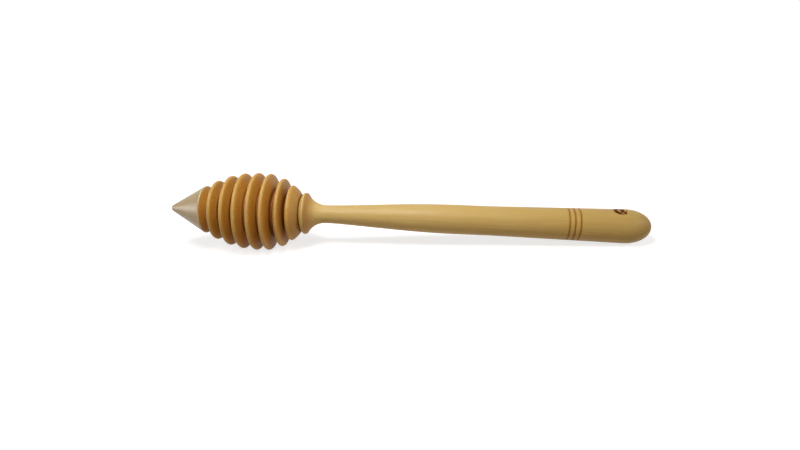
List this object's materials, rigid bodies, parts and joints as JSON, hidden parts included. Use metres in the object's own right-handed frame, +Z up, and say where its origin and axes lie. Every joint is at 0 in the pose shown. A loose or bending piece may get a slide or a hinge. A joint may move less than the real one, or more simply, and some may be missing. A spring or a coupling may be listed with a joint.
{
  "type": "honey dipper",
  "caption": "Wooden honey dipper: ribbed honey-catching head with a pale pointed tip on a long turned handle with burnt lines and a hanging hole.",
  "frame": {"origin": "middle of the lying dipper's bounding box, at the level of the table that it rests on", "axes": "+X from the tip towards the handle's end, level with the table; +Z up; the turning axis lies in the XZ plane and leans 3.5 degrees down towards +X"},
  "size_m": [0.1796, 0.0292, 0.0292],
  "materials": {
    "tip": "smooth satin, pale greige",
    "head_wood": "turned hardwood, oiled, warm orange brown",
    "handle_wood": "turned hardwood, sanded and oiled, pale straw yellow"
  },
  "bodies": {
    "root": {"tip": "tip", "head": "head_wood", "handle": "handle_wood"}
  },
  "joints": []
}
